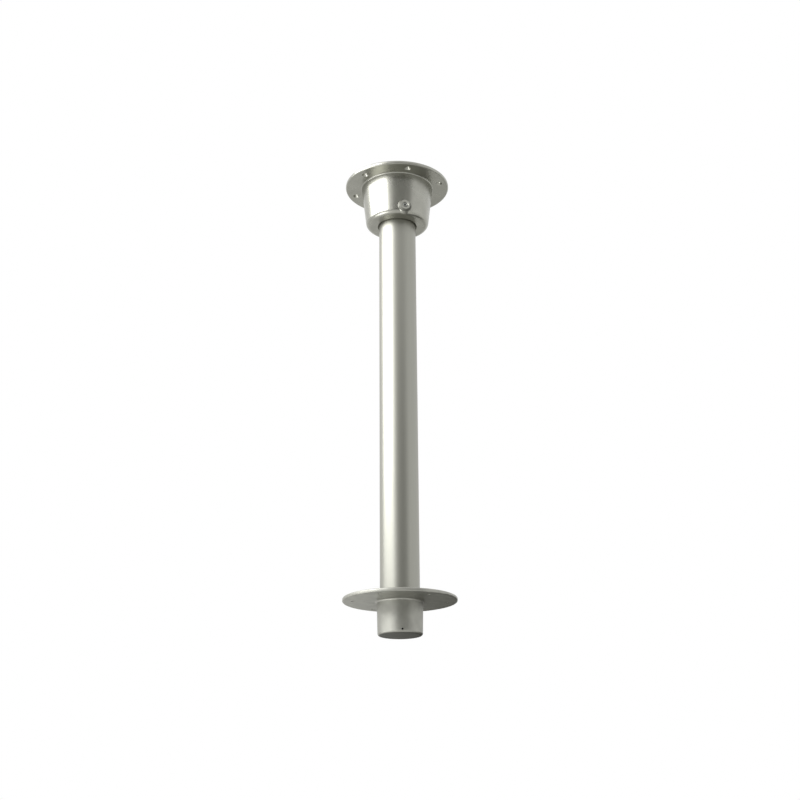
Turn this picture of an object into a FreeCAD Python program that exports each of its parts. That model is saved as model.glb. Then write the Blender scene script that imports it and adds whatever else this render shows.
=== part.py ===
import FreeCAD, Part
import os

import Sketcher

# Table pedestal for a boat: a round tube that stands in a socket let into the deck and carries a
# bell-shaped bracket under the table top. A set screw in the bell clamps the bracket to the tube.
# Millimetres. Z points up along the tube, the origin is on its axis at the deck's surface, and the
# set screw faces -Y. Each piece is drawn from its own lowest plane, with its mark towards +X, and is
# then turned and lifted into place.

# Driving sizes: name, millimetres or degrees or a count, and what it measures
DRIVING = (
    ("deck_to_table", 700, "deck surface to the table's underside"),
    ("tube_dia", 60, "outside of the tube"),
    ("tube_wall", 3, "wall of the tube"),
    ("tube_edge_break", 0.6, "chamfer on the sawn ends of the tube"),
    ("slip_gap", 0.3, "radial clearance of the tube in its socket and in its sleeve"),
    ("bracket_dia", 171, "flange of the bracket"),
    ("bracket_thick", 6, "flange of the bracket"),
    ("bell_depth", 70, "flange's underside to the mouth of the bell"),
    ("bell_flare", 8.2, "how much the bell's radius grows from its mouth to the flange"),
    ("bell_wall", 5, "wall of the bell, measured level"),
    ("core_gap", 10, "hollow between the sleeve and the bell's wall, at the mouth"),
    ("bell_lip_round", 8, "outer rounding at the mouth"),
    ("bell_root_fillet", 2, "outer fillet between bell and flange"),
    ("bell_floor", 6, "ring of metal that closes the mouth round the sleeve"),
    ("sleeve_wall", 5.5, "wall of the sleeve that holds the tube"),
    ("sleeve_drop", 16, "table's underside to the top of the sleeve"),
    ("stop_thick", 4, "ring at the sleeve's top that sits on the end of the tube"),
    ("stop_lap", 5, "how far that ring reaches in from the sleeve's bore"),
    ("mouth_chamfer", 2, "lead-in of the sleeve"),
    ("core_fillet", 3, "inside corners of the bell"),
    ("rib_count", 3, "ribs between sleeve and bell"),
    ("rib_thick", 5, "ribs between sleeve and bell"),
    ("rib_inner_drop", 6, "top of a rib below the sleeve's top, at the sleeve"),
    ("rib_outer_drop", 24, "top of a rib below the sleeve's top, at the bell"),
    ("boss_face_dia", 17, "flat face of the boss"),
    ("boss_proud", 3.3, "flat face of the boss, out from the bell"),
    ("boss_core_dia", 18, "bridge that carries the thread through the hollow of the bell"),
    ("boss_margin", 4.5, "mouth of the bell to the underside of that bridge"),
    ("thread_dia", 8, "set screw"),
    ("thread_gap", 0.1, "radial clearance of the set screw in its hole"),
    ("thread_lead_in", 0.8, "chamfer at the mouth of the threaded hole"),
    ("set_screw_length", 25, "set screw"),
    ("hex_flats", 4, "socket of the set screw, across flats"),
    ("hex_depth", 4.5, "socket of the set screw"),
    ("set_screw_chamfer", 0.8, "both ends of the set screw"),
    ("clamp_gap", 0.3, "point of the set screw to the tube"),
    ("screw_count", 6, "wood screws in each flange"),
    ("screw_hole_dia", 5.5, "wood screw holes"),
    ("sink_dia", 10.5, "countersinks"),
    ("rim_round", 2, "rims of both flanges"),
    ("base_dia", 172, "flange of the floor base"),
    ("base_thick", 5.5, "flange of the floor base"),
    ("collar_wall", 7.7, "top of the collar, from the socket's bore to its outer edge"),
    ("collar_spread", 17, "foot of the collar, out from that edge"),
    ("collar_height", 12, "collar's top above the deck"),
    ("collar_blend", 6, "fillet where the collar starts to rise"),
    ("collar_round", 2, "outer edge of the collar's top"),
    ("socket_chamfer", 1.5, "lead-in of the socket"),
    ("socket_root_wall", 4.3, "wall of the socket at the flange"),
    ("socket_tip_wall", 3.3, "wall of the socket at its lower end"),
    ("socket_depth", 50, "socket below the deck's surface"),
    ("socket_root_fillet", 2.5, "outer fillet between socket and flange"),
    ("socket_tip_round", 3.5, "lower outer edge of the socket"),
    ("socket_floor", 3, "floor of the socket"),
    ("seat_height", 7, "ledge that the tube stands on, above the socket's floor"),
    ("seat_lap", 5, "how far the ledge reaches in from the socket's bore"),
    ("drain_dia", 3, "drain hole through the socket's wall"),
    ("drain_rise", 0.5, "lowest point of the drain hole above the socket's floor"),
    ("base_turn", 8, "angle from the set screw's side round to the drain hole, in degrees"),
)

# Sizes that follow from them: name, formula
DERIVED = (
    ("tube_radius", "tube_dia / 2"),
    ("tube_bore_radius", "tube_radius - tube_wall"),
    ("bore_radius", "tube_radius + slip_gap"),
    ("sleeve_radius", "bore_radius + sleeve_wall"),
    ("bell_mouth_radius", "sleeve_radius + core_gap + bell_wall"),
    ("bell_root_radius", "bell_mouth_radius + bell_flare"),
    ("bell_slope", "bell_flare / bell_depth"),
    ("bracket_radius", "bracket_dia / 2"),
    ("bracket_height", "bell_depth + bracket_thick"),
    ("bracket_lift", "deck_to_table - bracket_height"),
    ("core_top_radius", "bell_mouth_radius + bell_slope * bracket_height - bell_wall"),
    ("core_low_radius", "bell_mouth_radius + bell_slope * bell_floor - bell_wall"),
    ("sleeve_length", "bracket_height - sleeve_drop"),
    ("stop_radius", "bore_radius - stop_lap"),
    ("stop_height", "sleeve_length - stop_thick"),
    ("rib_start", "sleeve_radius - sleeve_wall / 2"),
    ("rib_inner_top", "sleeve_length - rib_inner_drop"),
    ("rib_outer_top", "sleeve_length - rib_outer_drop"),
    ("rib_foot", "bell_floor / 2"),
    ("rib_foot_end", "core_low_radius + bell_slope * (rib_foot - bell_floor) + bell_wall / 2"),
    ("rib_top_end", "core_low_radius + bell_slope * (rib_outer_top - bell_floor) + bell_wall / 2"),
    ("boss_face_radius", "boss_face_dia / 2"),
    ("boss_core_radius", "boss_core_dia / 2"),
    ("boss_height", "boss_margin + boss_core_radius"),
    ("boss_reach", "bell_mouth_radius + bell_slope * boss_height + boss_proud"),
    ("boss_foot", "core_low_radius + bell_slope * (boss_height - bell_floor)"),
    ("boss_start", "sleeve_radius - sleeve_wall / 2"),
    ("thread_radius", "thread_dia / 2"),
    ("tapped_radius", "thread_radius + thread_gap"),
    ("tapped_start", "bore_radius / 2"),
    ("tapped_mouth_radius", "tapped_radius + thread_lead_in"),
    ("tapped_lead_start", "boss_reach - thread_lead_in"),
    ("screw_hole_radius", "screw_hole_dia / 2"),
    ("sink_radius", "sink_dia / 2"),
    ("sink_depth", "sink_radius - screw_hole_radius"),
    ("table_screw_radius", "(bell_root_radius + bracket_radius) / 2"),
    ("table_sink_start", "bell_depth - bell_root_fillet"),
    ("table_sink_end", "bell_root_fillet + sink_depth"),
    ("table_hole_end", "bell_root_fillet + bracket_thick"),
    ("base_radius", "base_dia / 2"),
    ("base_top", "socket_depth + base_thick"),
    ("base_sink_start", "base_thick - sink_depth"),
    ("collar_radius", "bore_radius + collar_wall"),
    ("collar_foot_radius", "collar_radius + collar_spread"),
    ("collar_top", "socket_depth + collar_height"),
    ("deck_screw_radius", "(collar_foot_radius + base_radius) / 2"),
    ("socket_root_radius", "bore_radius + socket_root_wall"),
    ("socket_tip_radius", "bore_radius + socket_tip_wall"),
    ("seat_radius", "bore_radius - seat_lap"),
    ("seat_top", "socket_floor + seat_height"),
    ("drain_radius", "drain_dia / 2"),
    ("drain_height", "socket_floor + drain_rise + drain_radius"),
    ("drain_start", "seat_radius / 2"),
    ("drain_length", "socket_root_radius - drain_start"),
    ("tube_foot", "seat_top - socket_depth"),
    ("tube_length", "bracket_lift + stop_height - tube_foot"),
    ("set_screw_tip", "tube_radius + clamp_gap"),
    ("set_screw_level", "bracket_lift + boss_height"),
    ("hex_start", "set_screw_length - hex_depth"),
    ("hex_radius", "hex_flats / 2 / cos(30)"),
)

NEAR = 0.001
FULL_TURN = 360
QUARTER_TURN = 90
HEXAGON = 6

doc = FreeCAD.newDocument("table_pedestal")
sheet = doc.addObject("Spreadsheet::Sheet", "sizes")


def fill_sheet():
    """Writes one row per size: its note, its value or formula, and its alias."""
    row = 1
    for alias, value, note in DRIVING:
        sheet.set(f"A{row}", note)
        sheet.set(f"B{row}", str(value))
        sheet.setAlias(f"B{row}", alias)
        row += 1
    for alias, formula in DERIVED:
        sheet.set(f"A{row}", "worked out")
        sheet.set(f"B{row}", "=" + formula)
        sheet.setAlias(f"B{row}", alias)
        row += 1
    doc.recompute()


def size(alias):
    return float(sheet.get(alias))


def new_body(label):
    body = doc.addObject("PartDesign::Body", label)
    body.Label = label
    return body


def origin_part(body, role):
    """The body's own plane or axis of that role, such as XZ_Plane or Z_Axis."""
    return next(item for item in body.Origin.OriginFeatures if item.Role == role)


def new_sketch(body, name, plane, shift=()):
    """Empty sketch on an origin plane, moved along its own axes by the sizes named in shift."""
    sketch = body.newObject("Sketcher::SketchObject", name)
    sketch.AttachmentSupport = (origin_part(body, plane), [""])
    sketch.MapMode = "FlatFace"
    for direction, alias in shift:
        sketch.setExpression(f"AttachmentOffset.Base.{direction}", f"sizes.{alias}")
    return sketch


def bind(sketch, number, alias):
    sketch.setExpression(f"Constraints[{number}]", f"sizes.{alias}")


def outline(body, name, plane, corners, shift=()):
    """Closed outline of straight sides. A corner is two size names, and None means on the axis."""
    sketch = new_sketch(body, name, plane, shift)
    points = [FreeCAD.Vector(size(x) if x else 0, size(y) if y else 0, 0) for x, y in corners]
    count = len(points)
    for side in range(count):
        sketch.addGeometry(Part.LineSegment(points[side], points[(side + 1) % count]), False)
    for side in range(count):
        sketch.addConstraint(Sketcher.Constraint("Coincident", side, 2, (side + 1) % count, 1))
    for side, (x, y) in enumerate(corners):
        if x:
            rule = Sketcher.Constraint("DistanceX", -1, 1, side, 1, size(x))
            bind(sketch, sketch.addConstraint(rule), x)
        else:
            sketch.addConstraint(Sketcher.Constraint("PointOnObject", side, 1, -2))
        if y:
            rule = Sketcher.Constraint("DistanceY", -1, 1, side, 1, size(y))
            bind(sketch, sketch.addConstraint(rule), y)
        else:
            sketch.addConstraint(Sketcher.Constraint("PointOnObject", side, 1, -1))
    return sketch


def settle(feature, before):
    """Recomputes, and stops the build if a feature that follows another changed nothing."""
    doc.recompute()
    if before and abs(feature.Shape.Volume - before.Shape.Volume) < NEAR:
        raise RuntimeError(f"{feature.Label} changes nothing")
    return feature


def turned(body, kind, name, sketch, axis):
    """Revolves a sketch about its own H_Axis or V_Axis, as Revolution or Groove."""
    before = body.Tip
    feature = body.newObject(f"PartDesign::{kind}", name)
    feature.Profile = sketch
    feature.ReferenceAxis = (sketch, [axis])
    feature.Angle = FULL_TURN
    return settle(feature, before)


def rings(feature, radius, height):
    """Names of the round edges about the piece's axis that have this radius at this height."""
    names = []
    for number, edge in enumerate(feature.Shape.Edges, 1):
        if not isinstance(edge.Curve, Part.Circle):
            continue
        centre = edge.Curve.Center
        on_axis = abs(centre.x) < NEAR and abs(centre.y) < NEAR
        if on_axis and abs(edge.Curve.Radius - radius) < NEAR and abs(centre.z - height) < NEAR:
            names.append(f"Edge{number}")
    if not names:
        raise RuntimeError(f"{feature.Label} has no round edge of radius {radius} at {height}")
    return names


def edge_break(body, kind, name, places, alias):
    """Fillet or Chamfer on the round edges given as pairs of radius and height names."""
    base = body.Tip
    names = []
    for radius, height in places:
        names += rings(base, size(radius), size(height) if height else 0)
    feature = body.newObject(f"PartDesign::{kind}", name)
    feature.Base = (base, names)
    feature.setExpression("Radius" if kind == "Fillet" else "Size", f"sizes.{alias}")
    return settle(feature, base)


def repeat_round(body, name, feature, count):
    """Repeats a feature round the piece's axis."""
    pattern = body.newObject("PartDesign::PolarPattern", name)
    pattern.Originals = [feature]
    pattern.Axis = (origin_part(body, "Z_Axis"), [""])
    pattern.Angle = FULL_TURN
    pattern.setExpression("Occurrences", f"sizes.{count}")
    body.Tip = pattern
    return settle(pattern, feature)


def place(body, axis, angle, **offsets):
    """Turns a finished piece about an axis and moves it by formulas for x, y and z."""
    body.Placement.Rotation = FreeCAD.Rotation(FreeCAD.Vector(*axis), angle)
    for direction, formula in offsets.items():
        body.setExpression(f"Placement.Base.{direction}", formula)
    doc.recompute()


def make_floor_base():
    """Casting in the deck: flange with a raised collar, and a blind socket below it."""
    body = new_body("floor_base")
    section = outline(
        body,
        "floor_base_section",
        "XZ_Plane",
        [
            (None, None),
            ("socket_tip_radius", None),
            ("socket_root_radius", "socket_depth"),
            ("base_radius", "socket_depth"),
            ("base_radius", "base_top"),
            ("collar_foot_radius", "base_top"),
            ("collar_radius", "collar_top"),
            ("bore_radius", "collar_top"),
            ("bore_radius", "seat_top"),
            ("seat_radius", "seat_top"),
            ("seat_radius", "socket_floor"),
            (None, "socket_floor"),
        ],
    )
    turned(body, "Revolution", "floor_base_casting", section, "V_Axis")
    rims = [("base_radius", "socket_depth"), ("base_radius", "base_top")]
    edge_break(body, "Fillet", "floor_base_rim", rims, "rim_round")
    foot = [("collar_foot_radius", "base_top")]
    edge_break(body, "Fillet", "floor_base_rise", foot, "collar_blend")
    edge_break(body, "Fillet", "floor_base_collar", [("collar_radius", "collar_top")], "collar_round")
    root = [("socket_root_radius", "socket_depth")]
    edge_break(body, "Fillet", "socket_root", root, "socket_root_fillet")
    edge_break(body, "Fillet", "socket_tip", [("socket_tip_radius", None)], "socket_tip_round")
    lead_in = [("bore_radius", "collar_top")]
    edge_break(body, "Chamfer", "socket_lead_in", lead_in, "socket_chamfer")

    # The screws stand midway between the collar's foot and the rim. The countersink goes on upwards,
    # so that it clears the collar where the flange is narrow.
    hole = outline(
        body,
        "deck_screw_section",
        "XZ_Plane",
        [
            (None, None),
            ("screw_hole_radius", None),
            ("screw_hole_radius", "base_sink_start"),
            ("sink_radius", "base_thick"),
            ("sink_radius", "collar_height"),
            (None, "collar_height"),
        ],
        [("x", "deck_screw_radius"), ("y", "socket_depth")],
    )
    cut = turned(body, "Groove", "deck_screw_hole", hole, "V_Axis")
    repeat_round(body, "deck_screw_holes", cut, "screw_count")

    # The drain points towards -Y, which is midway between two of the screws
    drain = new_sketch(body, "drain_section", "XZ_Plane", [("y", "drain_height"), ("z", "drain_start")])
    centre = FreeCAD.Vector(0, 0, 0)
    outward = FreeCAD.Vector(0, 0, 1)
    drain.addGeometry(Part.Circle(centre, outward, size("drain_radius")), False)
    drain.addConstraint(Sketcher.Constraint("Coincident", 0, 3, -1, 1))
    rule = Sketcher.Constraint("Radius", 0, size("drain_radius"))
    bind(drain, drain.addConstraint(rule), "drain_radius")
    before = body.Tip
    pocket = body.newObject("PartDesign::Pocket", "drain_hole")
    pocket.Profile = drain
    pocket.Reversed = True
    pocket.setExpression("Length", "sizes.drain_length")
    settle(pocket, before)
    place(body, (0, 0, 1), -size("base_turn"), z="-sizes.socket_depth")
    return body


def make_column_tube():
    """Extruded tube, sawn square at both ends."""
    body = new_body("column_tube")
    section = outline(
        body,
        "column_tube_section",
        "XZ_Plane",
        [
            ("tube_bore_radius", None),
            ("tube_radius", None),
            ("tube_radius", "tube_length"),
            ("tube_bore_radius", "tube_length"),
        ],
    )
    turned(body, "Revolution", "column_tube_wall", section, "V_Axis")
    ends = [("tube_radius", None), ("tube_radius", "tube_length")]
    edge_break(body, "Chamfer", "column_tube_ends", ends, "tube_edge_break")
    place(body, (0, 0, 1), 0, z="sizes.tube_foot")
    return body


def make_table_bracket():
    """Casting under the table: flange, bell and, inside the bell, the sleeve that holds the tube."""
    body = new_body("table_bracket")
    section = outline(
        body,
        "table_bracket_section",
        "XZ_Plane",
        [
            ("bore_radius", None),
            ("bell_mouth_radius", None),
            ("bell_root_radius", "bell_depth"),
            ("bracket_radius", "bell_depth"),
            ("bracket_radius", "bracket_height"),
            ("core_top_radius", "bracket_height"),
            ("core_low_radius", "bell_floor"),
            ("sleeve_radius", "bell_floor"),
            ("sleeve_radius", "sleeve_length"),
            ("stop_radius", "sleeve_length"),
            ("stop_radius", "stop_height"),
            ("bore_radius", "stop_height"),
        ],
    )
    turned(body, "Revolution", "table_bracket_casting", section, "V_Axis")
    rims = [("bracket_radius", "bell_depth"), ("bracket_radius", "bracket_height")]
    edge_break(body, "Fillet", "table_bracket_rim", rims, "rim_round")
    edge_break(body, "Fillet", "bell_lip", [("bell_mouth_radius", None)], "bell_lip_round")
    edge_break(body, "Fillet", "bell_root", [("bell_root_radius", "bell_depth")], "bell_root_fillet")
    corners = [("core_low_radius", "bell_floor"), ("sleeve_radius", "bell_floor")]
    edge_break(body, "Fillet", "bell_core_corners", corners, "core_fillet")
    edge_break(body, "Chamfer", "sleeve_lead_in", [("bore_radius", None)], "mouth_chamfer")

    rib = outline(
        body,
        "rib_section",
        "XZ_Plane",
        [
            ("rib_start", "rib_foot"),
            ("rib_foot_end", "rib_foot"),
            ("rib_top_end", "rib_outer_top"),
            ("rib_start", "rib_inner_top"),
        ],
    )
    before = body.Tip
    web = body.newObject("PartDesign::Pad", "rib")
    web.Profile = rib
    web.SideType = "Symmetric"
    web.setExpression("Length", "sizes.rib_thick")
    settle(web, before)
    repeat_round(body, "ribs", web, "rib_count")

    boss = outline(
        body,
        "boss_section",
        "XZ_Plane",
        [
            ("boss_start", None),
            ("boss_reach", None),
            ("boss_reach", "boss_face_radius"),
            ("boss_foot", "boss_height"),
            ("boss_foot", "boss_core_radius"),
            ("boss_start", "boss_core_radius"),
        ],
        [("y", "boss_height")],
    )
    turned(body, "Revolution", "boss", boss, "H_Axis")
    tapped = outline(
        body,
        "tapped_hole_section",
        "XZ_Plane",
        [
            ("tapped_start", None),
            ("boss_reach", None),
            ("boss_reach", "tapped_mouth_radius"),
            ("tapped_lead_start", "tapped_radius"),
            ("tapped_start", "tapped_radius"),
        ],
        [("y", "boss_height")],
    )
    turned(body, "Groove", "tapped_hole", tapped, "H_Axis")

    # The screws stand midway between the bell and the rim. The countersink starts below the flange,
    # so that it clears the bell's root fillet where the flange is narrow.
    hole = outline(
        body,
        "table_screw_section",
        "XZ_Plane",
        [
            (None, None),
            ("sink_radius", None),
            ("sink_radius", "bell_root_fillet"),
            ("screw_hole_radius", "table_sink_end"),
            ("screw_hole_radius", "table_hole_end"),
            (None, "table_hole_end"),
        ],
        [("x", "table_screw_radius"), ("y", "table_sink_start")],
    )
    cut = turned(body, "Groove", "table_screw_hole", hole, "V_Axis")
    repeat_round(body, "table_screw_holes", cut, "screw_count")
    place(body, (0, 0, 1), -QUARTER_TURN, z="sizes.bracket_lift")
    return body


def make_set_screw():
    """Headless screw with a hexagon socket, drawn point down. Its thread is left plain."""
    body = new_body("set_screw")
    section = outline(
        body,
        "set_screw_section",
        "XZ_Plane",
        [
            (None, None),
            ("thread_radius", None),
            ("thread_radius", "set_screw_length"),
            (None, "set_screw_length"),
        ],
    )
    turned(body, "Revolution", "set_screw_shank", section, "V_Axis")
    ends = [("thread_radius", None), ("thread_radius", "set_screw_length")]
    edge_break(body, "Chamfer", "set_screw_ends", ends, "set_screw_chamfer")

    before = body.Tip
    socket = body.newObject("PartDesign::SubtractivePrism", "hex_socket")
    socket.Polygon = HEXAGON
    socket.AttachmentSupport = (origin_part(body, "XY_Plane"), [""])
    socket.MapMode = "FlatFace"
    socket.setExpression("AttachmentOffset.Base.z", "sizes.hex_start")
    socket.setExpression("Circumradius", "sizes.hex_radius")
    socket.setExpression("Height", "sizes.hex_depth")
    settle(socket, before)
    place(body, (1, 0, 0), QUARTER_TURN, y="-sizes.set_screw_tip", z="sizes.set_screw_level")
    return body


def check_document():
    """Stops the build if anything in the document failed."""
    for item in doc.Objects:
        if "Invalid" in item.State or "Error" in item.State:
            raise RuntimeError(f"{item.Name} is {item.State}")


def check_piece(body):
    shape = body.Shape
    if shape.isNull() or not shape.isValid() or len(shape.Solids) != 1:
        raise RuntimeError(f"{body.Label} is not one sound solid")


fill_sheet()
pieces = [make_floor_base(), make_column_tube(), make_table_bracket(), make_set_screw()]
check_document()
for piece in pieces:
    check_piece(piece)
os.makedirs("parts", exist_ok=True)
for piece in pieces:
    piece.Shape.exportStep(f"parts/{piece.Label}.step")
    print(piece.Label, round(piece.Shape.Volume), "mm3")
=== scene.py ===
import math

import bmesh
import bpy
from mathutils import Matrix, Vector


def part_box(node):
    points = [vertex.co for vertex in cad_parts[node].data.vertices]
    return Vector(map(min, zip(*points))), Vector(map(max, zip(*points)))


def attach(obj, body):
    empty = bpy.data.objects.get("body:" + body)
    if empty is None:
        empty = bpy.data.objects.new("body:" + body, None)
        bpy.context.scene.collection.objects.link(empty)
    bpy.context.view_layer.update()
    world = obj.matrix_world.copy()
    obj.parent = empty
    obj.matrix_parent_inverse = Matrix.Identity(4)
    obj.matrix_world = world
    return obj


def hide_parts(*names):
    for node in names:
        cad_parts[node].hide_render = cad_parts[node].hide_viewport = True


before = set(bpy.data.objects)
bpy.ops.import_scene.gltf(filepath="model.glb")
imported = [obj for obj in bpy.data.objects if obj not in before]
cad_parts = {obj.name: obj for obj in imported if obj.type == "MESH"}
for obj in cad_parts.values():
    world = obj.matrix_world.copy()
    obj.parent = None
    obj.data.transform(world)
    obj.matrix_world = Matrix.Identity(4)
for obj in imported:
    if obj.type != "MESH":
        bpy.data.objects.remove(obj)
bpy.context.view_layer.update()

bl_info = {
    "name": "Table pedestal finish",
    "version": (1, 0, 0),
    "blender": (4, 5, 0),
    "location": "3D View > Sidebar > Pedestal",
    "description": "Finishes a boat table pedestal and sets up its studio",
    "category": "Object",
}

MM = 0.001
PHOTO_PIXELS = 800
SENSOR_MM = 36
THREAD_STEPS_PER_TURN = 36

# Places on the castings where the finish changes, in the part's own frame. The two wall radii lie within
# the bell's wall, at the level of the hollow's floor and of its top, and WALL_TO_OUTSIDE leads from them to
# just outside the bell.
HOLLOW_FLOOR = 629 * MM
HOLLOW_TOP = 699 * MM
WALL_LOW = 48.6 * MM
WALL_TOP = 56.8 * MM
WALL_TO_OUTSIDE = 3.1 * MM
BORE = 30.6 * MM
BORE_TOP = 680.3 * MM
BOSS_LEVEL = 637.5 * MM
BOSS_EDGE = 8.6 * MM
BOSS_FOOT = 13 * MM
BOSS_FRONT = -40 * MM
TABLE_FACE = 699.5 * MM
SOCKET_END = -49.7 * MM
SOCKET_FADE = 0.8 * MM


def from_hex(text):
    """Turns an sRGB hex colour into linear red, green, blue and alpha."""
    channels = [int(text[i:i + 2], 16) / 255 for i in (1, 3, 5)]
    linear = [c / 12.92 if c <= 0.04045 else ((c + 0.055) / 1.055) ** 2.4 for c in channels]
    return (*linear, 1.0)


def add(tree, kind, inputs=None, **settings):
    """Adds a node. An input is a plain value or the output that feeds it."""
    node = tree.nodes.new(kind)
    for name, value in settings.items():
        setattr(node, name, value)
    for name, value in (inputs or {}).items():
        if isinstance(value, bpy.types.NodeSocket):
            tree.links.new(value, node.inputs[name])
        else:
            node.inputs[name].default_value = value
    return node


def colour_property(name, description, hex_value):
    """Setting that is a colour, written here as a hex value."""
    return bpy.props.FloatVectorProperty(
        name=name,
        description=description,
        default=from_hex(hex_value),
        size=4,
        subtype="COLOR",
        min=0,
        max=1,
    )


def length_property(name, description, metres):
    """Setting that is a length, kept in metres."""
    return bpy.props.FloatProperty(
        name=name, description=description, default=metres, unit="LENGTH", precision=5
    )


def angle_property(name, description, degrees):
    """Setting that is an angle, written here in degrees."""
    return bpy.props.FloatProperty(
        name=name, description=description, default=math.radians(degrees), unit="ROTATION"
    )


def factor_property(name, description, value):
    """Setting between nothing and one."""
    return bpy.props.FloatProperty(
        name=name, description=description, default=value, min=0, max=1, subtype="FACTOR"
    )


class BracketFinish(bpy.types.PropertyGroup):
    light_colour: colour_property("Light colour", "Where the casting is buffed brightest", "#adada5")
    dark_colour: colour_property("Dark colour", "Where the casting keeps more of its skin", "#92928a")
    low_roughness: factor_property("Low roughness", "Roughness where it is buffed most", 0.22)
    high_roughness: factor_property("High roughness", "Roughness where it is buffed least", 0.35)
    patch: length_property("Patch", "Width of the patches that buffing leaves", 22 * MM)
    grain: length_property("Grain", "Width of the grain that the sand leaves", 1.2 * MM)
    grain_height: length_property("Grain height", "Height of that grain", 0.002 * MM)
    skin_and_shade_colour: colour_property("Skin colour", "Bare casting skin that the wheel can't reach", "#8f8f88")
    pit_colour: colour_property("Pit colour", "Pits that the sand leaves in that skin", "#70706a")
    # Painted shade: the corner round the boss is coloured darker than the skin elsewhere, in place of the
    # shade under and beside the boss
    corner_shade_colour: colour_property("Corner colour", "The same skin in the corner round the boss", "#72726c")
    skin_roughness: factor_property("Skin roughness", "Roughness of that skin", 0.62)
    skin_grain: length_property("Skin grain", "Width of the sand grain in that skin", 2.2 * MM)
    skin_height: length_property("Skin height", "Height of the sand grain in that skin", 0.12 * MM)
    turned_colour: colour_property("Turned colour", "Tool marks on the table face", "#85857f")
    turned_step: length_property("Turned step", "Spacing of the tool marks on the table face", 2 * MM)
    turned_height: length_property("Turned height", "Depth of those tool marks", 0.012 * MM)


class BaseFinish(bpy.types.PropertyGroup):
    light_colour: colour_property("Light colour", "Where the casting is worn brightest", "#b4b4ac")
    dark_colour: colour_property("Dark colour", "Where the casting keeps more of its skin", "#94948e")
    low_roughness: factor_property("Low roughness", "Roughness where it is smoothest", 0.42)
    high_roughness: factor_property("High roughness", "Roughness where it is coarsest", 0.5)
    patch: length_property("Patch", "Width of the patches that tumbling leaves", 16 * MM)
    grain: length_property("Grain", "Width of the grain that the sand leaves", 1.2 * MM)
    grain_height: length_property("Grain height", "Height of that grain", 0.004 * MM)
    # Painted shade: the socket's end face, which looks down, is coloured darker than the rest of the base;
    # its rougher skin is real
    skin_and_shade_colour: colour_property("Skin colour", "Bare casting skin on the end of the socket", "#6b6b66")
    skin_roughness: factor_property("Skin roughness", "Roughness of that skin", 0.6)


class TubeFinish(bpy.types.PropertyGroup):
    light_colour: colour_property("Light colour", "Anodised skin", "#a4a49c")
    dark_colour: colour_property("Dark colour", "Drawing lines in the skin", "#9b9b93")
    low_roughness: factor_property("Low roughness", "Roughness between the lines", 0.36)
    high_roughness: factor_property("High roughness", "Roughness in the lines", 0.44)
    line_width: length_property("Line width", "Width of a drawing line", 0.8 * MM)
    line_length: length_property("Line length", "Length of a drawing line", 120 * MM)
    line_height: length_property("Line height", "Depth of a drawing line", 0.004 * MM)


class ScrewFinish(bpy.types.PropertyGroup):
    colour: colour_property("Colour", "Stainless steel", "#8f908c")
    low_roughness: factor_property("Low roughness", "Roughness between the tool marks", 0.22)
    high_roughness: factor_property("High roughness", "Roughness in the tool marks", 0.38)
    scratch: length_property("Scratch", "Width of the tool marks", 0.15 * MM)
    pitch: length_property("Pitch", "Pitch of the metric thread", 1.25 * MM)
    root_radius: length_property("Root radius", "Radius at the root of the thread", 3.28 * MM)


class StudioSettings(bpy.types.PropertyGroup):
    camera_azimuth: angle_property("Camera azimuth", "From the set screw's side, to the right", -14)
    camera_distance: length_property("Camera distance", "Level distance from the tube's axis", 1.85)
    camera_height: length_property("Camera height", "Above the deck's surface", -0.35)
    camera_side: length_property("Camera side", "Axis to the left of the camera's line", 0.0023)
    camera_pitch: angle_property("Camera pitch", "Upwards", 19.9)
    camera_roll: angle_property("Camera roll", "Clockwise", 0.43)
    focal_pixels: bpy.props.FloatProperty(
        name="Focal length", description="Lens in pixels of the photograph", default=1249.9
    )
    floor_drop: length_property("Floor drop", "Floor below the deck's surface", 0.42)
    floor_side: length_property("Floor side", "Side of the square floor", 60)
    floor_colour: colour_property("Floor colour", "Plain pale floor", "#a8a8a4")
    floor_glow: factor_property("Floor glow", "Glow that only the camera and reflections see", 0.5)
    far_glow: factor_property("Far glow", "The same where the lamps don't reach the floor", 0.8)
    lit_radius: length_property("Lit radius", "How far the lamps light the floor", 1.4)
    far_radius: length_property("Far radius", "Where their light has gone", 5.0)
    card_colour: colour_property("Card colour", "Grey card behind the camera", "#b4b4b0")
    # Painted shade: a dark sheet seen only in reflections, in place of the shade behind and below the floor
    # base
    near_shade_sheet: colour_property("Near cloth", "Painted shade sheet close behind the floor base", "#7e7e7a")
    far_cloth: colour_property("Far cloth", "Pale cloth further back", "#ecece8")
    key_power: bpy.props.FloatProperty(
        name="Key light", description="Power of the soft box on the left", default=108, unit="POWER"
    )
    low_power: bpy.props.FloatProperty(
        name="Low light", description="Power of the soft box on the floor", default=16, unit="POWER"
    )


class PEDESTAL_OT_bracket(bpy.types.Operator):
    """Gives the bracket its buffed cast aluminium"""

    bl_idname = "pedestal.bracket"
    bl_label = "Finish bracket"

    def execute(self, context):
        coat("table_bracket", buffed_casting(context.scene.pedestal_bracket))
        return {"FINISHED"}


class PEDESTAL_OT_floor_base(bpy.types.Operator):
    """Gives the floor base its tumbled cast aluminium"""

    bl_idname = "pedestal.floor_base"
    bl_label = "Finish floor base"

    def execute(self, context):
        coat("floor_base", tumbled_casting(context.scene.pedestal_base))
        return {"FINISHED"}


class PEDESTAL_OT_tube(bpy.types.Operator):
    """Gives the tube its satin anodised skin"""

    bl_idname = "pedestal.tube"
    bl_label = "Finish tube"

    def execute(self, context):
        coat("column_tube", anodised_tube(context.scene.pedestal_tube))
        return {"FINISHED"}


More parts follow.
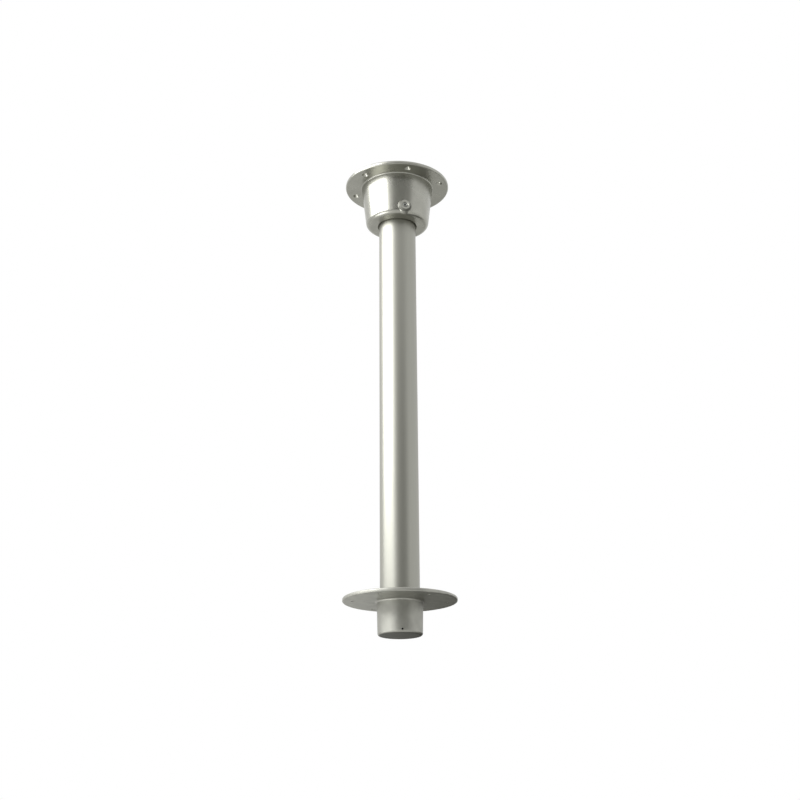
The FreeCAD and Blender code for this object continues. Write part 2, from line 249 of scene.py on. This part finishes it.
class PEDESTAL_OT_set_screw(bpy.types.Operator):
    """Cuts the set screw's thread and gives it its stainless steel"""

    bl_idname = "pedestal.set_screw"
    bl_label = "Finish set screw"

    def execute(self, context):
        settings = context.scene.pedestal_screw
        node = coat("set_screw", stainless_steel(settings))
        screw = cut_thread(node, thread_groove(settings))
        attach(screw, "clamp")
        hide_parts("set_screw")
        return {"FINISHED"}


class PEDESTAL_OT_studio(bpy.types.Operator):
    """Adds the floor, the card, the cloths, the light and the camera"""

    bl_idname = "pedestal.studio"
    bl_label = "Set up studio"

    def execute(self, context):
        settings = context.scene.pedestal_studio
        add_floor(settings)
        add_card(settings)
        add_cloths(settings)
        add_lamps(settings)
        light_world(context.scene)
        add_camera(context.scene, settings)
        return {"FINISHED"}


class PEDESTAL_PT_panel(bpy.types.Panel):
    bl_idname = "PEDESTAL_PT_panel"
    bl_label = "Table pedestal"
    bl_space_type = "VIEW_3D"
    bl_region_type = "UI"
    bl_category = "Pedestal"

    def draw(self, context):
        for group, operator in STEPS:
            box = self.layout.box()
            settings = getattr(context.scene, group)
            for name in settings.bl_rna.properties.keys():
                if name not in ("name", "rna_type"):
                    box.prop(settings, name)
            box.operator(operator)


def coat(name, material):
    """Gives a node of the frame its material, and returns the node."""
    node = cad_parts[name]
    node.data.materials.clear()
    node.data.materials.append(material)
    return node


def new_tree(name):
    """Material with an empty node tree."""
    material = bpy.data.materials.new(name)
    material.use_nodes = True
    material.node_tree.nodes.clear()
    return material, material.node_tree


def inside(tree, value, low, high, soft):
    """One where a value lies between two limits, falling to nothing over a soft edge outside them."""
    rise = add(
        tree, "ShaderNodeMapRange", {"Value": value, "From Min": low - soft, "From Max": low}
    ).outputs["Result"]
    fall = add(
        tree,
        "ShaderNodeMapRange",
        {"Value": value, "From Min": high, "From Max": high + soft, "To Min": 1.0, "To Max": 0.0},
    ).outputs["Result"]
    return add(tree, "ShaderNodeMath", {0: rise, 1: fall}, operation="MULTIPLY").outputs[0]


def flat_length(tree, place, centre, keep):
    """Distance from a centre, measured only along the axes that are kept as one and not nothing."""
    moved = add(
        tree, "ShaderNodeVectorMath", {0: place, 1: centre}, operation="SUBTRACT"
    ).outputs[0]
    flat = add(tree, "ShaderNodeVectorMath", {0: moved, 1: keep}, operation="MULTIPLY").outputs[0]
    return add(tree, "ShaderNodeVectorMath", {0: flat}, operation="LENGTH").outputs["Value"]


def cast_look(tree, place, settings):
    """Colour, roughness and grain of a worked casting: broad faint patches, and grain left by the sand."""
    patches = add(
        tree, "ShaderNodeTexNoise", {"Vector": place, "Scale": 1 / settings.patch, "Detail": 3.0}
    ).outputs["Fac"]
    grain = add(
        tree, "ShaderNodeTexNoise", {"Vector": place, "Scale": 1 / settings.grain, "Detail": 2.0}
    ).outputs["Fac"]
    colour = add(
        tree,
        "ShaderNodeMix",
        {0: patches, 6: settings.dark_colour, 7: settings.light_colour},
        data_type="RGBA",
    ).outputs[2]
    roughness = add(
        tree, "ShaderNodeMix", {0: patches, 2: settings.high_roughness, 3: settings.low_roughness}
    ).outputs[0]
    return colour, roughness, grain


def buffed_casting(settings):
    """Sand cast aluminium, buffed on a wheel, which gives the eye a soft mirror with faint patches.

    The wheel can't reach the hollow of the bell and the corner round the boss, so they keep the dull,
    grainy skin of the sand. The corner round the boss is also coloured darker than that skin, as painted
    shade under and beside the boss. The face against the table is turned, with fine rings. Both patterns
    are drawn several times as coarse as real ones, to show at all.
    """
    material, tree = new_tree("buffed cast aluminium")
    place = add(tree, "ShaderNodeTexCoord").outputs["Object"]
    colour, roughness, grain = cast_look(tree, place, settings)
    radius = flat_length(tree, place, (0, 0, 0), (1, 1, 0))
    apart = add(tree, "ShaderNodeSeparateXYZ", {"Vector": place}).outputs
    depth, height = apart["Y"], apart["Z"]

    level = inside(tree, height, HOLLOW_FLOOR, HOLLOW_TOP, soft=0.5 * MM)
    wall = add(
        tree,
        "ShaderNodeMapRange",
        {"Value": height, "From Min": HOLLOW_FLOOR, "From Max": HOLLOW_TOP,
         "To Min": WALL_LOW, "To Max": WALL_TOP},
    ).outputs["Result"]
    within = add(tree, "ShaderNodeMath", {0: radius, 1: wall}, operation="LESS_THAN").outputs[0]
    beside_bore = add(tree, "ShaderNodeMath", {0: radius, 1: BORE}, operation="GREATER_THAN").outputs[0]
    above_bore = add(tree, "ShaderNodeMath", {0: height, 1: BORE_TOP}, operation="GREATER_THAN").outputs[0]
    off_bore = add(tree, "ShaderNodeMath", {0: beside_bore, 1: above_bore}, operation="MAXIMUM").outputs[0]
    hollow = add(tree, "ShaderNodeMath", {0: within, 1: off_bore}, operation="MULTIPLY").outputs[0]
    hollow = add(tree, "ShaderNodeMath", {0: hollow, 1: level}, operation="MULTIPLY").outputs[0]

    from_boss = flat_length(tree, place, (0, 0, BOSS_LEVEL), (1, 0, 1))
    ring = inside(tree, from_boss, BOSS_EDGE, BOSS_FOOT, soft=0.8 * MM)
    in_front = add(tree, "ShaderNodeMath", {0: depth, 1: BOSS_FRONT}, operation="LESS_THAN").outputs[0]
    bell = add(tree, "ShaderNodeMath", {0: wall, 1: WALL_TO_OUTSIDE}, operation="ADD").outputs[0]
    proud = add(tree, "ShaderNodeMath", {0: radius, 1: bell}, operation="GREATER_THAN").outputs[0]
    corner = add(tree, "ShaderNodeMath", {0: ring, 1: in_front}, operation="MULTIPLY").outputs[0]
    corner = add(tree, "ShaderNodeMath", {0: corner, 1: proud}, operation="MULTIPLY").outputs[0]

    skin = add(tree, "ShaderNodeMath", {0: hollow, 1: corner}, operation="MAXIMUM").outputs[0]
    sand = add(
        tree, "ShaderNodeTexNoise", {"Vector": place, "Scale": 1 / settings.skin_grain, "Detail": 2.0}
    ).outputs["Fac"]
    # The noise seldom leaves the middle of its range, so that is stretched, here and for the rings
    pits = add(
        tree, "ShaderNodeMapRange", {"Value": sand, "From Min": 0.35, "From Max": 0.6}
    ).outputs["Result"]
    rough_skin = add(
        tree,
        "ShaderNodeMix",
        {0: pits, 6: settings.pit_colour, 7: settings.skin_and_shade_colour},
        data_type="RGBA",
    ).outputs[2]
    colour = add(
        tree, "ShaderNodeMix", {0: hollow, 6: colour, 7: rough_skin}, data_type="RGBA"
    ).outputs[2]
    # Painted shade: darker colour in the corner round the boss, where shade falls; its higher roughness is
    # the real unbuffed skin
    colour = add(
        tree, "ShaderNodeMix", {0: corner, 6: colour, 7: settings.corner_shade_colour}, data_type="RGBA"
    ).outputs[2]
    roughness = add(
        tree, "ShaderNodeMix", {0: skin, 2: roughness, 3: settings.skin_roughness}
    ).outputs[0]

    turned = add(tree, "ShaderNodeMath", {0: height, 1: TABLE_FACE}, operation="GREATER_THAN").outputs[0]
    steps = add(
        tree, "ShaderNodeMath", {0: radius, 1: 1 / settings.turned_step}, operation="MULTIPLY"
    ).outputs[0]
    rings = add(
        tree, "ShaderNodeTexNoise", {"W": steps, "Scale": 1.0, "Detail": 1.0}, noise_dimensions="1D"
    ).outputs["Fac"]
    marks = add(
        tree,
        "ShaderNodeMapRange",
        {"Value": rings, "From Min": 0.55, "From Max": 0.35, "To Max": turned},
    ).outputs["Result"]
    colour = add(
        tree, "ShaderNodeMix", {0: marks, 6: colour, 7: settings.turned_colour}, data_type="RGBA"
    ).outputs[2]

    pattern = add(tree, "ShaderNodeMix", {0: hollow, 2: grain, 3: sand}).outputs[0]
    pattern = add(tree, "ShaderNodeMix", {0: turned, 2: pattern, 3: rings}).outputs[0]
    rise = add(
        tree, "ShaderNodeMix", {0: hollow, 2: settings.grain_height, 3: settings.skin_height}
    ).outputs[0]
    rise = add(tree, "ShaderNodeMix", {0: turned, 2: rise, 3: settings.turned_height}).outputs[0]
    relief = add(tree, "ShaderNodeMath", {0: pattern, 1: rise}, operation="MULTIPLY").outputs[0]
    bump = add(
        tree, "ShaderNodeBump", {"Height": relief, "Strength": 1.0, "Distance": 1.0}
    ).outputs["Normal"]
    finish(tree, colour, roughness, bump)
    return material


def tumbled_casting(settings):
    """Sand cast aluminium, tumbled with stones, which gives the eye an even, soft satin.

    The end of the socket keeps its bare, rougher skin, and is coloured darker there as painted shade on
    that face, which looks down.
    """
    material, tree = new_tree("tumbled cast aluminium")
    place = add(tree, "ShaderNodeTexCoord").outputs["Object"]
    colour, roughness, grain = cast_look(tree, place, settings)
    height = add(tree, "ShaderNodeSeparateXYZ", {"Vector": place}).outputs["Z"]
    skin = add(
        tree,
        "ShaderNodeMapRange",
        {"Value": height, "From Min": SOCKET_END, "From Max": SOCKET_END + SOCKET_FADE,
         "To Min": 1.0, "To Max": 0.0},
    ).outputs["Result"]
    # Painted shade: the socket's end face is coloured darker in place of the shade on that down-facing
    # face; the roughness below is the real skin
    colour = add(
        tree, "ShaderNodeMix", {0: skin, 6: colour, 7: settings.skin_and_shade_colour}, data_type="RGBA"
    ).outputs[2]
    roughness = add(
        tree, "ShaderNodeMix", {0: skin, 2: roughness, 3: settings.skin_roughness}
    ).outputs[0]
    bump = add(
        tree, "ShaderNodeBump", {"Height": grain, "Strength": 1.0, "Distance": settings.grain_height}
    ).outputs["Normal"]
    finish(tree, colour, roughness, bump)
    return material


def anodised_tube(settings):
    """Drawn aluminium tube, anodised, which gives the eye a broad soft sheen with faint lines along it.

    The lines of the die are drawn about ten times as wide as real ones, to show at all.
    """
    material, tree = new_tree("satin anodised tube")
    place = add(tree, "ShaderNodeTexCoord").outputs["Object"]
    across = 1 / settings.line_width
    along = 1 / settings.line_length
    stretched = add(
        tree, "ShaderNodeMapping", {"Vector": place, "Scale": (across, across, along)}
    ).outputs["Vector"]
    lines = add(
        tree, "ShaderNodeTexNoise", {"Vector": stretched, "Scale": 1.0, "Detail": 4.0}
    ).outputs["Fac"]
    colour = add(
        tree,
        "ShaderNodeMix",
        {0: lines, 6: settings.dark_colour, 7: settings.light_colour},
        data_type="RGBA",
    ).outputs[2]
    roughness = add(
        tree,
        "ShaderNodeMapRange",
        {"Value": lines, "To Min": settings.high_roughness, "To Max": settings.low_roughness},
    ).outputs["Result"]
    bump = add(
        tree, "ShaderNodeBump", {"Height": lines, "Strength": 1.0, "Distance": settings.line_height}
    ).outputs["Normal"]
    finish(tree, colour, roughness, bump)
    return material


def stainless_steel(settings):
    """Turned stainless steel, which gives the eye a darker metal than the castings, with tool marks."""
    material, tree = new_tree("turned stainless steel")
    place = add(tree, "ShaderNodeTexCoord").outputs["Object"]
    marks = add(
        tree, "ShaderNodeTexNoise", {"Vector": place, "Scale": 1 / settings.scratch, "Detail": 2.0}
    ).outputs["Fac"]
    roughness = add(
        tree,
        "ShaderNodeMapRange",
        {"Value": marks, "To Min": settings.low_roughness, "To Max": settings.high_roughness},
    ).outputs["Result"]
    finish(tree, settings.colour, roughness)
    return material


def finish(tree, colour, roughness, bump=None):
    """Ends a metal's node tree in its shader and output."""
    inputs = {"Base Color": colour, "Metallic": 1.0, "Roughness": roughness}
    if bump:
        inputs["Normal"] = bump
    shader = add(tree, "ShaderNodeBsdfPrincipled", inputs)
    add(tree, "ShaderNodeOutputMaterial", {"Surface": shader.outputs["BSDF"]})


def link_shape(name, shape):
    """Object from a bmesh, which is used up."""
    mesh = bpy.data.meshes.new(name)
    shape.to_mesh(mesh)
    shape.free()
    item = bpy.data.objects.new(name, mesh)
    bpy.context.scene.collection.objects.link(item)
    return item


def thread_groove(settings):
    """Solid of the metric thread's groove, swept round the set screw's axis and past both of its ends."""
    low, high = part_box("set_screw")
    axis_level = (low[2] + high[2]) / 2
    root = settings.root_radius
    clear = 0.15 * MM
    outside = (high[2] - low[2]) / 2 + clear
    flank = math.radians(30)
    root_width = settings.pitch / 6
    half_root = root_width / 2
    half_mouth = half_root + (outside - root) * math.tan(flank)
    start = low[1] - settings.pitch
    beyond_the_ends = 2
    turns = math.ceil((high[1] - low[1]) / settings.pitch) + beyond_the_ends

    shape = bmesh.new()
    corners = (
        (start - half_root, root),
        (start + half_root, root),
        (start + half_mouth, outside),
        (start - half_mouth, outside),
    )
    section = shape.faces.new([shape.verts.new((0, y, axis_level + r)) for y, r in corners])
    bmesh.ops.spin(
        shape,
        geom=[section, *section.edges, *section.verts],
        cent=(0, 0, axis_level),
        axis=(0, 1, 0),
        dvec=(0, settings.pitch / THREAD_STEPS_PER_TURN, 0),
        angle=2 * math.pi * turns,
        steps=turns * THREAD_STEPS_PER_TURN,
        use_merge=False,
    )
    bmesh.ops.holes_fill(shape, edges=[edge for edge in shape.edges if edge.is_boundary])
    bmesh.ops.recalc_face_normals(shape, faces=shape.faces)
    return link_shape("thread_groove", shape)


def cut_thread(node, groove):
    """Copy of the plain screw with the groove cut out of it. The groove itself is used up."""
    shape = bmesh.new()
    shape.from_mesh(node.data)
    same_place = 0.001 * MM
    bmesh.ops.remove_doubles(shape, verts=shape.verts, dist=same_place)
    screw = link_shape("threaded_set_screw", shape)
    cut = screw.modifiers.new("thread", "BOOLEAN")
    cut.operation = "DIFFERENCE"
    cut.solver = "EXACT"
    cut.object = groove
    graph = bpy.context.evaluated_depsgraph_get()
    mesh = bpy.data.meshes.new_from_object(screw.evaluated_get(graph))
    screw.modifiers.clear()
    screw.data = mesh
    mesh.materials.clear()
    mesh.materials.append(node.data.materials[0])
    mesh.shade_smooth()
    sharp = math.radians(30)
    mesh.set_sharp_from_angle(angle=sharp)
    bpy.data.objects.remove(groove)
    return screw


def plain_material(name, colour):
    """Matt card or cloth of the studio."""
    material, tree = new_tree(name)
    shader = add(
        tree,
        "ShaderNodeBsdfPrincipled",
        {"Base Color": colour, "Roughness": 0.9, "Specular IOR Level": 0.0},
    )
    add(tree, "ShaderNodeOutputMaterial", {"Surface": shader.outputs["BSDF"]})
    return material


def add_sheet(name, side, height, matrix, material):
    """Flat stage piece of one face."""
    shape = bmesh.new()
    bmesh.ops.create_grid(shape, x_segments=1, y_segments=1, size=0.5)
    bmesh.ops.scale(shape, vec=(side, height, 1), verts=shape.verts)
    bmesh.ops.transform(shape, matrix=matrix, verts=shape.verts)
    sheet = link_shape(name, shape)
    sheet.data.materials.append(material)
    return sheet


def around(azimuth, distance, height):
    """Point at an azimuth from the set screw's side, to the right, at a level distance from the axis."""
    return Vector((math.sin(azimuth) * distance, -math.cos(azimuth) * distance, height))


def facing(point, target):
    """Matrix that puts a lamp or a sheet at a point, with its -Z side towards the target."""
    turn = (target - point).to_track_quat("-Z", "Y")
    return Matrix.Translation(point) @ turn.to_matrix().to_4x4()


def seen_directly(tree):
    """One for rays of the camera, of a reflection or through clear material, and otherwise nothing."""
    path = add(tree, "ShaderNodeLightPath").outputs
    first = add(
        tree,
        "ShaderNodeMath",
        {0: path["Is Camera Ray"], 1: path["Is Glossy Ray"]},
        operation="MAXIMUM",
    ).outputs[0]
    return add(
        tree, "ShaderNodeMath", {0: first, 1: path["Is Transmission Ray"]}, operation="MAXIMUM"
    ).outputs[0]


def pale_floor(settings):
    """Matt floor that looks nearly white, still shows the shadow, and goes over into the white world."""
    material, tree = new_tree("pale floor")
    matt = add(tree, "ShaderNodeBsdfDiffuse", {"Color": settings.floor_colour})
    place = add(tree, "ShaderNodeTexCoord").outputs["Object"]
    radius = flat_length(tree, place, (0, 0, 0), (1, 1, 0))
    white = add(
        tree,
        "ShaderNodeMapRange",
        {"Value": radius, "From Min": settings.lit_radius, "From Max": settings.far_radius,
         "To Min": settings.floor_glow, "To Max": settings.far_glow},
        interpolation_type="SMOOTHSTEP",
    ).outputs["Result"]
    strength = add(tree, "ShaderNodeMath", {0: seen_directly(tree), 1: white}, operation="MULTIPLY")
    glow = add(tree, "ShaderNodeEmission", {"Strength": strength.outputs[0]})
    both = add(tree, "ShaderNodeAddShader", {0: matt.outputs["BSDF"], 1: glow.outputs["Emission"]})
    add(tree, "ShaderNodeOutputMaterial", {"Surface": both.outputs["Shader"]})
    return material


def add_floor(settings):
    """Floor below the camera, which looks up at the pedestal."""
    matrix = Matrix.Translation((0, 0, -settings.floor_drop))
    add_sheet("floor", settings.floor_side, settings.floor_side, matrix, pale_floor(settings))


def upright(azimuth, distance, bottom, top):
    """Matrix of a lamp or sheet that stands upright at an azimuth and a distance and faces the axis."""
    middle = (bottom + top) / 2
    return facing(around(azimuth, distance, middle), Vector((0, 0, middle)))


def add_card(settings):
    """Grey card behind the camera, which gives the metal its dark band. The camera itself never sees it."""
    distance, width, top = 5.5, 6.9, 2.8
    to_the_right = math.radians(16)
    bottom = -settings.floor_drop
    matrix = upright(settings.camera_azimuth + to_the_right, distance, bottom, top)
    material = plain_material("grey card", settings.card_colour)
    only_in_reflections(add_sheet("card", width, top - bottom, matrix, material))


def add_cloths(settings):
    """Cloths behind the object and to its right, which only the undersides reflect.

    The dark one is painted shade: it stands close behind the floor base and runs out below it, where the
    undersides reflect it in place of the shade there. The pale one lies further back.
    """
    turn = Matrix.Rotation(settings.camera_azimuth, 4, "Z")
    on_end = Matrix.Rotation(math.radians(90), 4, "X")
    left, right, back, far, top = -0.02, 1.2, 0.5, 3.6, -0.03
    off_the_floor = 2 * MM
    low = off_the_floor - settings.floor_drop
    middle = (left + right) / 2
    # Painted shade: the dark sheets are seen only in reflections, in place of the shade behind and below
    # the floor base
    dark = plain_material("painted shade sheet", settings.near_shade_sheet)
    pale = plain_material("grey cloth", settings.far_cloth)
    upright_place = turn @ Matrix.Translation((middle, back, (low + top) / 2)) @ on_end
    near_place = turn @ Matrix.Translation((middle, back / 2, low))
    far_place = turn @ Matrix.Translation((middle, (back + far) / 2, low))
    only_in_reflections(add_sheet("painted shade sheet", right - left, top - low, upright_place, dark))
    only_in_reflections(add_sheet("painted shade sheet floor", right - left, back, near_place, dark))
    only_in_reflections(add_sheet("grey cloth", right - left, far - back, far_place, pale))


def only_in_reflections(sheet):
    """Keeps a stage piece out of the picture and its shadow off the floor."""
    sheet.visible_camera = False
    sheet.visible_diffuse = False
    sheet.visible_shadow = False


def add_soft_box(name, width, height, power, matrix):
    """Rectangular lamp that the camera itself never sees."""
    lamp = bpy.data.lights.new(name, "AREA")
    lamp.shape = "RECTANGLE"
    lamp.size = width
    lamp.size_y = height
    lamp.energy = power
    light = bpy.data.objects.new(name, lamp)
    light.matrix_world = matrix
    light.visible_camera = False
    bpy.context.scene.collection.objects.link(light)


def add_lamps(settings):
    """Tall soft box on the left, and a small one on the floor below it that lights the undersides."""
    to_the_left = math.radians(67.5)
    azimuth = settings.camera_azimuth - to_the_left
    width, distance, bottom, top = 2.6, 1.9, 0.66, 3.02
    matrix = upright(azimuth, distance, bottom, top)
    add_soft_box("key light", width, top - bottom, settings.key_power, matrix)

    side, distance, off_the_floor = 1.2, 1.35, 20 * MM
    place = around(azimuth, distance, off_the_floor - settings.floor_drop)
    matrix = facing(place, place + Vector((0, 0, 1)))
    add_soft_box("low light", side, side, settings.low_power, matrix)


def light_world(scene):
    """White where the camera, a reflection or clear material sees it, and plain grey light elsewhere."""
    world = bpy.data.worlds.new("studio")
    world.use_nodes = True
    tree = world.node_tree
    tree.nodes.clear()
    fill = add(tree, "ShaderNodeBackground", {"Color": (0.5, 0.5, 0.5, 1.0), "Strength": 1.0})
    white = add(tree, "ShaderNodeBackground", {"Color": (1.0, 1.0, 1.0, 1.0), "Strength": 1.0})
    mixed = add(
        tree,
        "ShaderNodeMixShader",
        {0: seen_directly(tree), 1: fill.outputs["Background"], 2: white.outputs["Background"]},
    )
    add(tree, "ShaderNodeOutputWorld", {"Surface": mixed.outputs["Shader"]})
    scene.world = world


def add_camera(scene, settings):
    """Camera in the photograph's place, below the deck's level and looking up."""
    data = bpy.data.cameras.new("camera")
    data.sensor_width = SENSOR_MM
    data.lens = settings.focal_pixels / PHOTO_PIXELS * SENSOR_MM
    camera = bpy.data.objects.new("camera", data)
    turn = Matrix.Rotation(settings.camera_azimuth, 4, "Z")
    tilt = Matrix.Rotation(math.radians(90) + settings.camera_pitch, 4, "X")
    roll = Matrix.Rotation(-settings.camera_roll, 4, "Z")
    right = turn @ Vector((1, 0, 0))
    place = around(settings.camera_azimuth, settings.camera_distance, settings.camera_height)
    place += right * settings.camera_side
    camera.matrix_world = Matrix.Translation(place) @ turn @ tilt @ roll
    scene.collection.objects.link(camera)
    scene.camera = camera


STEPS = (
    ("pedestal_base", "pedestal.floor_base"),
    ("pedestal_bracket", "pedestal.bracket"),
    ("pedestal_tube", "pedestal.tube"),
    ("pedestal_screw", "pedestal.set_screw"),
    ("pedestal_studio", "pedestal.studio"),
)
GROUPS = {
    "pedestal_base": BaseFinish,
    "pedestal_bracket": BracketFinish,
    "pedestal_tube": TubeFinish,
    "pedestal_screw": ScrewFinish,
    "pedestal_studio": StudioSettings,
}
CLASSES = (
    *GROUPS.values(),
    PEDESTAL_OT_floor_base,
    PEDESTAL_OT_bracket,
    PEDESTAL_OT_tube,
    PEDESTAL_OT_set_screw,
    PEDESTAL_OT_studio,
    PEDESTAL_PT_panel,
)


def register():
    for entry in CLASSES:
        bpy.utils.register_class(entry)
    for name, group in GROUPS.items():
        setattr(bpy.types.Scene, name, bpy.props.PointerProperty(type=group))


def unregister():
    for name in GROUPS:
        delattr(bpy.types.Scene, name)
    for entry in reversed(CLASSES):
        bpy.utils.unregister_class(entry)


def main():
    register()
    bpy.context.scene.view_settings.view_transform = "Standard"
    bpy.ops.pedestal.floor_base()
    bpy.ops.pedestal.bracket()
    bpy.ops.pedestal.tube()
    bpy.ops.pedestal.set_screw()
    bpy.ops.pedestal.studio()


if __name__ == "__main__":
    main()
